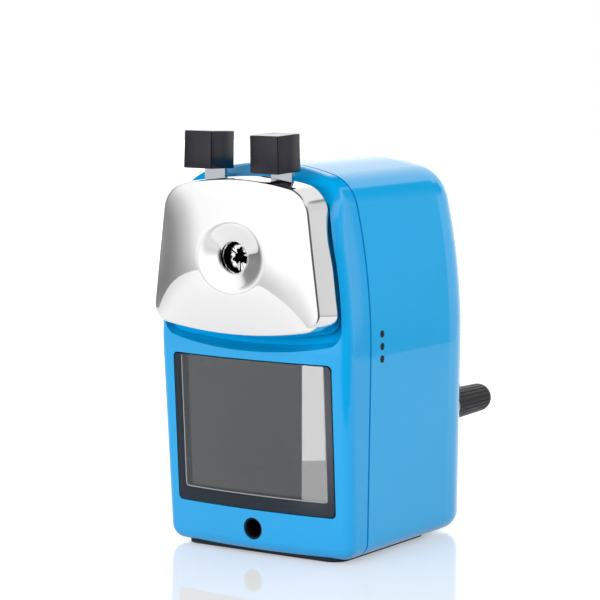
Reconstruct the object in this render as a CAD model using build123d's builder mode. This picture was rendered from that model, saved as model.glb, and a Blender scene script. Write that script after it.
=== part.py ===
from build123d import *
import os
from math import atan2, cos, pi, radians, sin, tan

# Self-feeding desk pencil sharpener with a rear crank.
# Millimetres, Z up, front towards -Y, origin on the floor under the middle of the body.

# Body shells
pad_height = 1.0
body_height = 115.1
half_width_middle = 34.0
bottom_taper = 1.0
corner_taper = 6.5
middle_drop = 56.1
top_rise = 5.2
side_bulge = 1.8
top_corner_radius = 12.0
bottom_corner_radius = 4.5
shell_wall = 2.2
front_y = -36.0
body_depth = 73.0
seam_depth = 11.4
seam_groove_width = 0.8
seam_groove_depth = 0.45
rear_half_width = 20.0
rear_round_top = 11.0
rear_round_bottom = 5.0
rear_round_length = 14.0
rear_round_steps = 6
rear_corner_loss = 0.3

# Bowed front of the bezel
front_lean_angle = 3.25
front_bow_radius = 192.0
chin_drop = 27.4
sweep_lift = 1.6
sweep_radius = 33.0
sweep_angle = 62.0
front_edge_round = 3.6
front_facing = 0.3

# Alcove for the sliding face
alcove_depth = 1.5
alcove_wall = 2.0
alcove_rim = 2.0
alcove_draft = 0.6
alcove_top_rim = 2.5
ledge_drop = 29.4
ledge_side_rise = 2.6
ledge_ramp = 3.2
alcove_corner_radius = 5.0
bezel_top_block = 9.5

# Drawer and its bay
drawer_side_rim = 4.7
drawer_opening_bottom = 13.6
drawer_sill = 1.1
drawer_corner_radius = 1.5
drawer_gap = 0.35
drawer_rear_gap = 17.0
drawer_side_wall = 2.2
drawer_floor = 3.0
drawer_front_wall = 2.4
drawer_back_wall = 2.0
drawer_side_height = 40.0
shelf_thickness = 2.4
shelf_side_gap = 0.4
shelf_back_gap = 1.0

# Clamp rod socket
clamp_height = 7.9
clamp_bore_radius = 3.1
clamp_bore_depth = 30.0
clamp_mouth_gap = 0.2
clamp_block_half_width = 7.0
clamp_block_end = 4.0

# Pad and screws underneath
pad_side_inset = 5.0
pad_front_inset = 3.5
pad_length = 50.0
pad_corner_radius = 5.0
pad_hole_radius = 3.4
screw_head_radius = 2.75
screw_head_height = 0.8
screw_shank_radius = 1.45
screw_length = 8.0
screw_post_radius = 3.4
screw_x = 21.0
front_screw_inset = 7.5
rear_screw_inset = 9.0

# Pencil axis and cutter geometry
axis_drop = 26.7
pencil_radius = 4.2
cutter_tilt = 11.0
cutter_radius = 6.0
cutter_root = 5.2
cutter_teeth = 12
cutter_twist = 48.0
cutter_steps = 6
cutter_length = 22.0
point_setback = 23.0
pinion_teeth = 10
ring_teeth = 22
pinion_gap = 1.4
gear_width = 4.6
tooth_addendum = 0.72
tooth_dedendum = 0.95
tooth_tip_share = 0.22
tooth_root_share = 0.62
spindle_radius = 1.5
spindle_tail = 2.6

# Carrier, ring gear and crank shaft
carrier_radius = 15.0
carrier_lead = 3.0
carrier_front_wall = 2.6
carrier_neck_radius = 7.6
neck_inset = 1.2
disc_reach = 7.6
carrier_disc_thickness = 3.4
carrier_disc_radius = 11.0
cutter_clearance = 0.6
ring_rim = 2.4
cup_wall = 2.0
cup_front_gap = 1.0
cup_flange_radius = 13.5
cup_flange_thickness = 2.0
bearing_radius = 7.0
bearing_flange_radius = 10.0
bearing_flange_thickness = 1.5
bearing_length = 4.0
shaft_radius = 3.5

# Crank
arm_gap = 1.0
arm_thickness = 4.0
arm_hub_radius = 7.0
arm_end_radius = 5.0
knob_x = 19.2
knob_drop = 53.4
knob_gap = 0.4
knob_length = 23.4
knob_radius = 5.0
knob_end_radius = 4.5
knob_flutes = 24
knob_flute_radius = 0.32
knob_bore_depth = 16.0
knob_pin_radius = 2.0
nut_radius = 5.0
nut_height = 3.0
nut_sides = 6
nut_edge_round = 0.75

# Pencil guide and guide rods
guide_radius = 6.8
guide_flange_radius = 11.0
guide_flange_thickness = 2.0
guide_overlap = 1.6
rod_side_inset = 10.0
rod_drop = 12.0
rod_radius = 2.0
rod_length = 53.5
bush_radius = 3.2
bush_flange_radius = 5.0
bush_flange_thickness = 2.0
stop_radius = 4.6
stop_thickness = 1.5
stop_inset = 0.5
feed_coil_radius = 3.3
feed_wire_radius = 0.4
feed_turns = 8

# Sliding face cover
cover_top = 22.8
cover_bottom = 22.7
cover_side_gap_top = 2.6
cover_side_gap_bottom = 4.1
cover_top_sag = 3.4
cover_bottom_sag = 3.2
cover_corner_top = 5.5
cover_corner_bottom = 5.0
cover_wall = 1.4
cover_depth = 9.4
cover_back_gap = 1.2
cover_crown = 2.6
crown_grid_steps = 12
crown_flatness = 0.5
dish_radius = 10.9
dish_depth = 1.3
pencil_hole_radius = 4.7
post_radius = 2.6
post_hole_radius = 1.0
post_side_inset = 4.1
post_upper_z = 11.0
post_lower_x = 13.0
post_lower_z = -16.5

# Carriage plate, levers and jaws
plate_thickness = 1.5
plate_inset = 0.25
plate_hole_radius = 5.2
lever_thickness = 1.2
lever_x = 11.8
stem_half_width = 3.6
stem_top = 32.0
pivot_z = 9.0
pivot_radius = 1.5
pivot_boss_radius = 5.0
pivot_head_radius = 3.5
pivot_head_thickness = 0.8
lever_arm_width = 6.4
lever_arm_x = 5.2
lever_arm_z = -4.2
lever_swing = 12.0
slot_margin = 0.7
lever_coil_radius = 2.6
lever_wire_radius = 0.25
lever_coil_turns = 2
lever_coil_length = 2.4
jaw_radius = 2.9
jaw_tooth = 0.55
jaw_outer_radius = 6.4
jaw_teeth = 5
jaw_thickness = 3.0
jaw_span = 98.0
jaw_centre_angle = 215.0
upper_jaw_span = 112.0
upper_stem_half_width = 3.0
upper_stem_top = 15.0
upper_slot_z = 10.0
jaw_travel = 2.9
jaw_clear_radius = 3.7

# Finger buttons
button_width = 9.2
button_depth = 10.6
button_height = 10.8
button_bottom = 25.4
button_front = 10.8
button_draft = 0.15
button_round = 0.6

# Fits
slide_fit = 0.05
running_fit = 0.05
seat_gap = 0.2
loose_fit = 0.15

# Derived positions
shell_bottom = pad_height
shell_top = shell_bottom + body_height
half_width_bottom = half_width_middle - bottom_taper
half_width_corner = half_width_middle - corner_taper
middle_height = shell_top - middle_drop
axis_height = shell_top - axis_drop
chin_height = axis_height - chin_drop
sweep_start = axis_height + sweep_lift
ledge_height = axis_height - ledge_drop
corner_height = shell_top - top_rise
rear_y = front_y + body_depth
seam_y = front_y + seam_depth
round_start = rear_y - rear_round_length
lean = tan(radians(front_lean_angle))
chin_y = front_y - lean * chin_height
alcove_floor_y = front_y + alcove_depth
alcove_back_y = alcove_floor_y + alcove_wall
inner_bottom = shell_bottom + shell_wall
bow_axis_y = front_y + front_bow_radius
bow_axis = Axis((0, bow_axis_y, 0), (0, 0, -1))

cover_half_top = half_width_corner - cover_side_gap_top
cover_half_bottom = half_width_middle - cover_side_gap_bottom
post_upper_x = cover_half_top - post_side_inset
cover_back_y = alcove_floor_y - cover_back_gap
cover_edge_y = cover_back_y - cover_depth
plate_back_y = cover_back_y - slide_fit
plate_front_y = plate_back_y - plate_thickness
lever_back_y = plate_front_y - slide_fit
lever_front_y = lever_back_y - lever_thickness
jaw_front_y = lever_front_y - jaw_thickness

drawer_half_width = half_width_bottom - drawer_side_rim
drawer_opening_height = ledge_height - drawer_sill - drawer_opening_bottom
drawer_bottom = drawer_opening_bottom + drawer_gap
drawer_top = drawer_opening_bottom + drawer_opening_height - drawer_gap
drawer_x = drawer_half_width - drawer_gap
drawer_back_y = rear_y - drawer_rear_gap
shelf_top = drawer_bottom - slide_fit
shelf_bottom = shelf_top - shelf_thickness
shelf_back_y = drawer_back_y + shelf_back_gap

point_y = rear_y - point_setback
cutter_front_y = point_y - cutter_length
carrier_front_y = cutter_front_y - carrier_lead
neck_start_y = point_y - neck_inset
disc_start_y = point_y + disc_reach
offset_at_point = cutter_radius / cos(radians(cutter_tilt))
tilt_slope = tan(radians(cutter_tilt))
apex_y = point_y + offset_at_point / tilt_slope
cutter_direction = Vector(0, cos(radians(cutter_tilt)), -sin(radians(cutter_tilt)))
gear_front_y = point_y + pinion_gap
gear_back_y = gear_front_y + gear_width
gear_middle_y = gear_front_y + gear_width / 2
gear_ratio = ring_teeth / pinion_teeth
pinion_cone = atan2(sin(radians(cutter_tilt)), gear_ratio - cos(radians(cutter_tilt)))
ring_cone = pinion_cone + radians(cutter_tilt)
pinion_pitch = (apex_y - gear_middle_y) / cos(radians(cutter_tilt)) * tan(pinion_cone)
ring_pitch = (apex_y - gear_middle_y) * tan(ring_cone)
ring_root_front = (ring_pitch + tooth_dedendum) * (apex_y - gear_front_y) / (apex_y - gear_middle_y)
ring_outer = ring_root_front + ring_rim
carrier_back_y = disc_start_y + carrier_disc_thickness
spindle_length = (disc_start_y + spindle_tail - carrier_front_y) / cos(radians(cutter_tilt))
rear_round_side = half_width_middle - rear_half_width
wall_inner_y = rear_y - shell_wall
bearing_back_y = rear_y + bearing_flange_thickness
arm_front_y = bearing_back_y + arm_gap
arm_back_y = arm_front_y + arm_thickness
knob_front_y = arm_back_y + knob_gap
rod_x = half_width_middle - rod_side_inset
rod_front_y = plate_front_y
rod_back_y = rod_front_y + rod_length
stop_front_y = rod_back_y - stop_inset - stop_thickness
bush_back_y = alcove_back_y + bush_flange_thickness
rod_height = axis_height - rod_drop


# Plane facing the front at a depth, with X to the right and Z up
def upright(y):
    return Plane.XZ.offset(-y)


# Plane facing the front at a depth, centred on the pencil axis
def axis_plane(y):
    return Plane(origin=(0, y, axis_height), x_dir=(1, 0, 0), z_dir=(0, -1, 0))


# Front-view outline of the shells, taken in from the outside by three amounts
def body_outline(side_in, top_in, bottom_in, corner_loss):
    bottom = shell_bottom + bottom_in
    corner = (half_width_corner - side_in, corner_height - top_in)
    middle = (half_width_middle - side_in, middle_height)
    foot = (half_width_bottom - side_in, bottom)
    with BuildSketch() as outline:
        with BuildLine():
            Line((-foot[0], foot[1]), foot)
            Line(foot, middle)
            SagittaArc(middle, corner, -side_bulge)
            ThreePointArc(corner, (0, shell_top - top_in), (-corner[0], corner[1]))
            SagittaArc((-corner[0], corner[1]), (-middle[0], middle[1]), -side_bulge)
            Line((-middle[0], middle[1]), (-foot[0], foot[1]))
        make_face()
        fillet(outline.vertices().group_by(Axis.Y)[-1], top_corner_radius - corner_loss)
        fillet(outline.vertices().group_by(Axis.Y)[0], bottom_corner_radius - corner_loss)
    return outline.sketch


# Front-view outline of the alcove, taken in by an amount and with its ledge raised
def alcove_outline(inset, ledge_lift):
    ledge = ledge_height + ledge_lift
    side = (half_width_middle - alcove_rim - inset, ledge + ledge_side_rise)
    corner = (half_width_corner - alcove_rim - inset, corner_height - alcove_top_rim)
    with BuildSketch() as outline:
        with BuildLine():
            ThreePointArc((-side[0], side[1]), (0, ledge), side)
            SagittaArc(side, corner, -side_bulge)
            ThreePointArc(corner, (0, shell_top - alcove_top_rim), (-corner[0], corner[1]))
            SagittaArc((-corner[0], corner[1]), (-side[0], side[1]), -side_bulge)
        make_face()
        fillet(outline.vertices().group_by(Axis.Y)[-1], top_corner_radius - alcove_rim)
        fillet(outline.vertices().group_by(Axis.Y)[0], alcove_corner_radius)
    return outline.sketch


# Side-view region behind the bezel's front curve, with distances from the bow axis
def front_region(shift):
    foot_reach = front_bow_radius - lean * chin_height - shift
    chin_reach = front_bow_radius + lean * chin_height - shift
    with BuildSketch() as region:
        with BuildLine():
            foot_line = Line((foot_reach, -chin_height), (chin_reach, chin_height))
            lift_line = Line(foot_line @ 1, (chin_reach, sweep_start))
            sweep_line = JernArc(lift_line @ 1, (0, 1), sweep_radius, sweep_angle)
            top_line = Line(sweep_line @ 1, (0, (sweep_line @ 1).Y))
            Line(top_line @ 1, (0, -chin_height))
            Line((0, -chin_height), foot_line @ 0)
        make_face()
    return region.sketch


# Front-view outline of the sliding cover about the pencil axis, taken in by an amount
def cover_outline(inset):
    low = (cover_half_bottom - inset, cover_bottom_sag - cover_bottom + inset)
    high = (cover_half_top - inset, cover_top - cover_top_sag - inset)
    with BuildSketch() as outline:
        with BuildLine():
            ThreePointArc((-low[0], low[1]), (0, inset - cover_bottom), low)
            Line(low, high)
            ThreePointArc(high, (0, cover_top - inset), (-high[0], high[1]))
            Line((-high[0], high[1]), (-low[0], low[1]))
        make_face()
        fillet(outline.vertices().group_by(Axis.Y)[-1], cover_corner_top - inset)
        fillet(outline.vertices().group_by(Axis.Y)[0], cover_corner_bottom - inset)
    return outline.sketch


# Pillow surface of the cover, moved back by an amount
def crown_face(shift):
    half_x = max(cover_half_top, cover_half_bottom)
    half_z = max(cover_top, cover_bottom)
    rows = []
    for step_x in range(-crown_grid_steps, crown_grid_steps + 1):
        row = []
        for step_z in range(-crown_grid_steps, crown_grid_steps + 1):
            u = step_x / crown_grid_steps
            v = step_z / crown_grid_steps
            across = 1 - crown_flatness * u**2 - (1 - crown_flatness) * u**4
            rise = cover_crown * across * (1 - v**2)
            edge = cover_half_bottom + (cover_half_top - cover_half_bottom) * (v + 1) / 2
            across_x = u * edge * half_x / cover_half_bottom
            row.append(Vector(across_x, cover_edge_y - rise + shift, axis_height + v * half_z))
        rows.append(row)
    return Face.make_surface_from_array_of_points(rows)


# Corner points of a toothed disc: tips at one radius, roots at another
def tooth_points(count, tip, root, start):
    pitch_angle = 2 * pi / count
    points = []
    for tooth in range(count):
        middle = start + tooth * pitch_angle
        for radius, share in (
            (root, -tooth_root_share),
            (tip, -tooth_tip_share),
            (tip, tooth_tip_share),
            (root, tooth_root_share),
        ):
            angle = middle + share * pitch_angle / 2
            points.append((radius * cos(angle), radius * sin(angle)))
    return points


# Plane square to the cutter's spindle, at a depth along the body
def spindle_plane(y):
    height = axis_height + offset_at_point + tilt_slope * (point_y - y)
    return Plane(origin=(0, y, height), x_dir=(1, 0, 0), z_dir=cutter_direction)


# Serrated jaw sector about the pencil axis
def jaw_outline(centre, span):
    points = []
    for step in range(2 * jaw_teeth + 1):
        angle = radians(centre + span / 2 - span * step / (2 * jaw_teeth))
        radius = jaw_radius + jaw_tooth * (step % 2)
        points.append((radius * cos(angle), radius * sin(angle)))
    first = radians(centre - span / 2)
    last = radians(centre + span / 2)
    middle = radians(centre)
    outer_first = (jaw_outer_radius * cos(first), jaw_outer_radius * sin(first))
    outer_middle = (jaw_outer_radius * cos(middle), jaw_outer_radius * sin(middle))
    outer_last = (jaw_outer_radius * cos(last), jaw_outer_radius * sin(last))
    with BuildSketch() as outline:
        with BuildLine():
            Polyline(*points)
            Line(points[-1], outer_first)
            ThreePointArc(outer_first, outer_middle, outer_last)
            Line(outer_last, points[0])
        make_face()
    return outline.sketch


# Front-view places of the four cover posts, from the pencil axis
def post_places():
    return [
        (-post_upper_x, post_upper_z),
        (post_upper_x, post_upper_z),
        (-post_lower_x, post_lower_z),
        (post_lower_x, post_lower_z),
    ]


# Underside places of the four screws
def screw_places():
    return [
        (-screw_x, front_y + front_screw_inset),
        (screw_x, front_y + front_screw_inset),
        (-screw_x, shelf_back_y - rear_screw_inset),
        (screw_x, shelf_back_y - rear_screw_inset),
    ]


os.makedirs("parts", exist_ok=True)


# Rear housing
with BuildPart() as rear_housing:
    with BuildSketch(upright(seam_y)):
        add(body_outline(0, 0, 0, 0))
    extrude(amount=seam_y - round_start)
    for step in range(rear_round_steps + 1):
        turn = pi / 2 * step / rear_round_steps
        fall = 1 - cos(turn)
        with BuildSketch(upright(round_start + rear_round_length * sin(turn))):
            add(
                body_outline(
                    rear_round_side * fall,
                    rear_round_top * fall,
                    rear_round_bottom * fall,
                    rear_corner_loss * fall,
                )
            )
    loft()
    with BuildSketch(upright(seam_y)):
        add(body_outline(shell_wall, shell_wall, shell_wall, shell_wall))
    extrude(amount=seam_y - round_start, mode=Mode.SUBTRACT)
    for step in range(rear_round_steps + 1):
        turn = pi / 2 * step / rear_round_steps
        fall = 1 - cos(turn)
        with BuildSketch(upright(round_start + (rear_round_length - shell_wall) * sin(turn))):
            add(
                body_outline(
                    shell_wall + (rear_round_side - shell_wall) * fall,
                    shell_wall + (rear_round_top - shell_wall) * fall,
                    shell_wall + (rear_round_bottom - shell_wall) * fall,
                    shell_wall,
                )
            )
    loft(mode=Mode.SUBTRACT)
    with BuildSketch(axis_plane(rear_y + shell_wall)):
        Circle(bearing_radius)
    extrude(amount=rear_round_length, mode=Mode.SUBTRACT)
    with BuildSketch(Plane.XY.offset(shell_bottom)):
        with Locations(*[place for place in screw_places() if place[1] > seam_y]):
            Circle(screw_shank_radius)
    extrude(amount=shell_wall, mode=Mode.SUBTRACT)
rear_housing.part.label = "rear_housing"
export_step(rear_housing.part, "parts/rear_housing.step")

# Front bezel
with BuildPart() as front_bezel:
    with BuildSketch(upright(seam_y - seam_groove_width)):
        add(body_outline(0, 0, 0, 0))
    extrude(amount=body_depth)
    with BuildSketch(upright(seam_y)):
        add(body_outline(seam_groove_depth, seam_groove_depth, seam_groove_depth, seam_groove_depth))
    extrude(amount=seam_groove_width)
    with BuildSketch(upright(bow_axis_y)):
        add(front_region(0))
    revolve(axis=bow_axis, revolution_arc=180, mode=Mode.INTERSECT)
    front_limit_y = seam_y - 2 * seam_groove_width
    near_faces = [face for face in front_bezel.faces() if face.center().Y < front_limit_y]
    front_faces = [face for face in near_faces if abs(face.normal_at().Y) > front_facing]
    rim_edges = []
    for edge in front_bezel.edges():
        touching = [face for face in front_faces if edge in face.edges()]
        if len(touching) == 1 and edge.center().Y < front_limit_y:
            rim_edges.append(edge)
    fillet(rim_edges, front_edge_round)
    with BuildSketch(upright(seam_y)):
        add(body_outline(shell_wall, bezel_top_block, shell_wall, shell_wall))
    extrude(amount=seam_y - alcove_back_y, mode=Mode.SUBTRACT)
    with BuildSketch(upright(alcove_floor_y)):
        add(alcove_outline(alcove_draft, ledge_ramp))
    with BuildSketch(upright(chin_y - front_edge_round)):
        add(alcove_outline(0, 0))
    loft(ruled=True, mode=Mode.SUBTRACT)
    with BuildSketch(upright(seam_y)):
        with Locations((0, drawer_opening_bottom + drawer_opening_height / 2)):
            RectangleRounded(2 * drawer_half_width, drawer_opening_height, drawer_corner_radius)
    extrude(amount=body_depth, mode=Mode.SUBTRACT)
    with BuildSketch(upright(alcove_back_y)):
        with Locations((0, clamp_height)):
            Circle(clamp_bore_radius + clamp_mouth_gap)
    extrude(amount=seam_depth, mode=Mode.SUBTRACT)
    with BuildSketch(upright(alcove_back_y)):
        with Locations((0, axis_height)):
            Circle(guide_radius)
        with Locations((-rod_x, rod_height), (rod_x, rod_height)):
            Circle(bush_radius)
    extrude(amount=alcove_wall, mode=Mode.SUBTRACT)
    with BuildSketch(Plane.XY.offset(shell_bottom)):
        with Locations(*[place for place in screw_places() if place[1] < seam_y]):
            Circle(screw_shank_radius)
    extrude(amount=shell_wall, mode=Mode.SUBTRACT)
front_bezel.part.label = "front_bezel"
export_step(front_bezel.part, "parts/front_bezel.step")

# Rubber pad under the shells
with BuildPart() as base_pad:
    with BuildSketch():
        with Locations((0, front_y + pad_front_inset + pad_length / 2)):
            RectangleRounded(2 * (half_width_bottom - pad_side_inset), pad_length, pad_corner_radius)
        with Locations(*screw_places()):
            Circle(pad_hole_radius, mode=Mode.SUBTRACT)
    extrude(amount=pad_height)
base_pad.part.label = "base_pad"
export_step(base_pad.part, "parts/base_pad.step")

# Inner shelf under the drawer, with the clamp rod socket and the screw posts
with BuildPart() as drawer_shelf:
    shelf_half_width = half_width_bottom - shell_wall - shelf_side_gap
    with BuildSketch(Plane.XY.offset(shelf_bottom)):
        with Locations((0, (alcove_back_y + shelf_back_y) / 2)):
            Rectangle(2 * shelf_half_width, shelf_back_y - alcove_back_y)
    extrude(amount=shelf_thickness)
    with BuildSketch(Plane.XY.offset(inner_bottom)):
        with Locations((0, alcove_back_y + (clamp_bore_depth + clamp_block_end) / 2)):
            Rectangle(2 * clamp_block_half_width, clamp_bore_depth + clamp_block_end)
        with Locations(*screw_places()):
            Circle(screw_post_radius)
    extrude(amount=shelf_bottom - inner_bottom)
    with BuildSketch(upright(alcove_back_y)):
        with Locations((0, clamp_height)):
            Circle(clamp_bore_radius)
    extrude(amount=-clamp_bore_depth, mode=Mode.SUBTRACT)
    with BuildSketch(Plane.XY.offset(shell_bottom)):
        with Locations(*screw_places()):
            Circle(screw_shank_radius)
    extrude(amount=screw_length, mode=Mode.SUBTRACT)
drawer_shelf.part.label = "drawer_shelf"
export_step(drawer_shelf.part, "parts/drawer_shelf.step")

# Screws from below
with BuildPart() as housing_screws:
    with BuildSketch(Plane.XY.offset(shell_bottom - screw_head_height)):
        with Locations(*screw_places()):
            Circle(screw_head_radius)
    extrude(amount=screw_head_height)
    with BuildSketch(Plane.XY.offset(shell_bottom)):
        with Locations(*screw_places()):
            Circle(screw_shank_radius)
    extrude(amount=screw_length)
housing_screws.part.label = "housing_screws"
export_step(housing_screws.part, "parts/housing_screws.step")

# Solid that fills the drawer behind its front wall
with BuildPart() as drawer_core:
    core_half_width = drawer_x - drawer_side_wall
    core_bottom = drawer_bottom + drawer_floor
    core_back_y = drawer_back_y - drawer_back_wall
    with BuildSketch(upright(core_back_y)):
        with Locations((0, (core_bottom + shell_top) / 2)):
            Rectangle(2 * core_half_width, shell_top - core_bottom)
    extrude(amount=body_depth)
    with BuildSketch(upright(bow_axis_y)):
        add(front_region(drawer_front_wall))
    revolve(axis=bow_axis, revolution_arc=180, mode=Mode.INTERSECT)

# Shavings drawer
with BuildPart() as drawer:
    with BuildSketch(upright(drawer_back_y)):
        with Locations((0, (drawer_bottom + drawer_top) / 2)):
            RectangleRounded(2 * drawer_x, drawer_top - drawer_bottom, drawer_corner_radius)
    extrude(amount=body_depth)
    with BuildSketch(upright(bow_axis_y)):
        add(front_region(0))
    revolve(axis=bow_axis, revolution_arc=180, mode=Mode.INTERSECT)
    add(drawer_core.part, mode=Mode.SUBTRACT)
    with BuildSketch(Plane.XY.offset(drawer_bottom + drawer_side_height)):
        with Locations((0, seam_y + body_depth / 2)):
            Rectangle(2 * half_width_middle, body_depth)
    extrude(amount=drawer_opening_height, mode=Mode.SUBTRACT)
drawer.part.label = "drawer"
export_step(drawer.part, "parts/drawer.step")

# Cup on the rear wall that holds the ring gear
with BuildPart() as gear_cup:
    cup_front_y = gear_front_y - cup_front_gap
    cup_back_y = wall_inner_y - cup_flange_thickness
    with BuildSketch(axis_plane(cup_front_y)):
        Circle(ring_outer + cup_wall)
        Circle(ring_outer, mode=Mode.SUBTRACT)
    extrude(amount=cup_front_y - cup_back_y)
    with BuildSketch(axis_plane(cup_back_y)):
        Circle(ring_outer + cup_wall)
        Circle(bearing_radius, mode=Mode.SUBTRACT)
    extrude(amount=cup_flange_thickness)
    with BuildSketch(axis_plane(cup_back_y)):
        Circle(cup_flange_radius)
        Circle(bearing_radius, mode=Mode.SUBTRACT)
    extrude(amount=-cup_flange_thickness)
gear_cup.part.label = "gear_cup"
export_step(gear_cup.part, "parts/gear_cup.step")

# Internal ring gear, coned towards the point where both gear axes meet
with BuildPart() as ring_gear:
    with BuildSketch(axis_plane(gear_front_y)):
        Circle(ring_outer)
    extrude(amount=-gear_width)
    for y in (gear_front_y, gear_back_y):
        share = (apex_y - y) / (apex_y - gear_middle_y)
        tip = (ring_pitch - tooth_addendum) * share
        root = (ring_pitch + tooth_dedendum) * share
        with BuildSketch(axis_plane(y)):
            Polygon(*tooth_points(ring_teeth, tip, root, pi / 2 + pi / ring_teeth), align=None)
    loft(ruled=True, mode=Mode.SUBTRACT)
ring_gear.part.label = "ring_gear"
export_step(ring_gear.part, "parts/ring_gear.step")

# Guide tube for the pencil behind the alcove wall
with BuildPart() as pencil_guide:
    guide_back_y = carrier_front_y + guide_overlap
    with BuildSketch(axis_plane(alcove_floor_y)):
        Circle(guide_radius)
    extrude(amount=alcove_floor_y - guide_back_y)
    with BuildSketch(axis_plane(alcove_back_y)):
        Circle(guide_flange_radius)
    extrude(amount=-guide_flange_thickness)
    with BuildSketch(axis_plane(alcove_floor_y)):
        Circle(pencil_radius)
    extrude(amount=alcove_floor_y - guide_back_y, mode=Mode.SUBTRACT)
pencil_guide.part.label = "pencil_guide"
export_step(pencil_guide.part, "parts/pencil_guide.step")

# Flanged bush for the crank shaft
with BuildPart() as crank_bearing:
    with BuildSketch(axis_plane(wall_inner_y - bearing_length)):
        Circle(bearing_radius)
    extrude(amount=wall_inner_y - bearing_length - rear_y)
    with BuildSketch(axis_plane(rear_y)):
        Circle(bearing_flange_radius)
    extrude(amount=-bearing_flange_thickness)
    with BuildSketch(axis_plane(bearing_back_y)):
        Circle(shaft_radius + running_fit)
    extrude(amount=body_depth, mode=Mode.SUBTRACT)
crank_bearing.part.label = "crank_bearing"
export_step(crank_bearing.part, "parts/crank_bearing.step")

# Bushes for the guide rods
with BuildPart() as rod_bushes:
    with BuildSketch(upright(alcove_floor_y)):
        with Locations((-rod_x, rod_height), (rod_x, rod_height)):
            Circle(bush_radius)
    extrude(amount=alcove_floor_y - alcove_back_y)
    with BuildSketch(upright(alcove_back_y)):
        with Locations((-rod_x, rod_height), (rod_x, rod_height)):
            Circle(bush_flange_radius)
    extrude(amount=-bush_flange_thickness)
    with BuildSketch(upright(alcove_floor_y)):
        with Locations((-rod_x, rod_height), (rod_x, rod_height)):
            Circle(rod_radius + running_fit)
    extrude(amount=alcove_floor_y - bush_back_y, mode=Mode.SUBTRACT)
rod_bushes.part.label = "rod_bushes"
export_step(rod_bushes.part, "parts/rod_bushes.step")

# Hollow under the cover's skin
with BuildPart() as cover_core:
    extrude(crown_face(cover_wall), amount=body_depth, dir=(0, 1, 0))
    with BuildSketch(axis_plane(seam_y)):
        add(cover_outline(cover_wall))
    extrude(amount=body_depth, mode=Mode.INTERSECT)

# Chrome face cover
with BuildPart() as face_cover:
    extrude(crown_face(0), amount=body_depth, dir=(0, 1, 0))
    with BuildSketch(axis_plane(cover_back_y)):
        add(cover_outline(0))
    extrude(amount=body_depth, mode=Mode.INTERSECT)
    add(cover_core.part, mode=Mode.SUBTRACT)
    dish_front_y = cover_edge_y - cover_crown
    dish_floor_y = dish_front_y + dish_depth
    with BuildSketch(axis_plane(dish_front_y + 2 * cover_wall)):
        Circle(dish_radius)
    extrude(amount=cover_wall)
    with BuildSketch(Plane.YZ):
        with BuildLine():
            dish_hole = (dish_floor_y, axis_height + pencil_hole_radius)
            dish_rim = (dish_front_y, axis_height + dish_radius)
            dish_top = (dish_front_y - cover_wall, axis_height + dish_radius)
            Line((dish_floor_y, axis_height), (dish_front_y - cover_wall, axis_height))
            Line((dish_front_y - cover_wall, axis_height), dish_top)
            Line(dish_top, dish_rim)
            Line(dish_rim, dish_hole)
            Line(dish_hole, (dish_floor_y, axis_height))
        make_face()
    revolve(axis=Axis((0, 0, axis_height), (0, 1, 0)), mode=Mode.SUBTRACT)
    with BuildSketch(axis_plane(seam_y)):
        Circle(pencil_hole_radius)
    extrude(amount=body_depth, mode=Mode.SUBTRACT)
    with BuildSketch(axis_plane(plate_front_y)):
        with Locations(*post_places()):
            Circle(post_radius)
    extrude(amount=plate_front_y - cover_edge_y)
    with BuildSketch(axis_plane(plate_front_y)):
        with Locations(*post_places()):
            Circle(post_hole_radius)
    extrude(amount=(plate_front_y - cover_edge_y) / 2, mode=Mode.SUBTRACT)
    slot_inward = (cover_top - pivot_z) * sin(radians(lever_swing)) + slot_margin
    slot_width = 2 * stem_half_width + slot_inward + slot_margin
    slot_middle = lever_x - (slot_inward - slot_margin) / 2
    with BuildSketch(Plane.XY.offset(axis_height + cover_top / 2)):
        slot_y = (lever_front_y + lever_back_y) / 2
        with Locations((-slot_middle, slot_y), (slot_middle, slot_y)):
            Rectangle(slot_width, lever_thickness + 2 * seat_gap)
    extrude(amount=cover_top, mode=Mode.SUBTRACT)
face_cover.part.label = "face_cover"
export_step(face_cover.part, "parts/face_cover.step")

# Plate that closes the cover's back
with BuildPart() as carriage_plate:
    with BuildSketch(axis_plane(plate_back_y)):
        add(cover_outline(cover_wall + plate_inset))
        Circle(plate_hole_radius, mode=Mode.SUBTRACT)
        with Locations((-rod_x, -rod_drop), (rod_x, -rod_drop)):
            Circle(rod_radius, mode=Mode.SUBTRACT)
        with Locations((-lever_x, pivot_z), (lever_x, pivot_z), (0, upper_slot_z)):
            Circle(pivot_radius, mode=Mode.SUBTRACT)
        with Locations(*post_places()):
            Circle(post_hole_radius, mode=Mode.SUBTRACT)
    extrude(amount=plate_thickness)
carriage_plate.part.label = "carriage_plate"
export_step(carriage_plate.part, "parts/carriage_plate.step")

# Guide rods
with BuildPart() as guide_rods:
    with BuildSketch(upright(rod_front_y)):
        with Locations((-rod_x, rod_height), (rod_x, rod_height)):
            Circle(rod_radius)
    extrude(amount=-rod_length)
guide_rods.part.label = "guide_rods"
export_step(guide_rods.part, "parts/guide_rods.step")

# Washers at the rods' rear ends
with BuildPart() as rod_stops:
    with BuildSketch(upright(stop_front_y)):
        with Locations((-rod_x, rod_height), (rod_x, rod_height)):
            Circle(stop_radius)
            Circle(rod_radius, mode=Mode.SUBTRACT)
    extrude(amount=-stop_thickness)
rod_stops.part.label = "rod_stops"
export_step(rod_stops.part, "parts/rod_stops.step")

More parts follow.
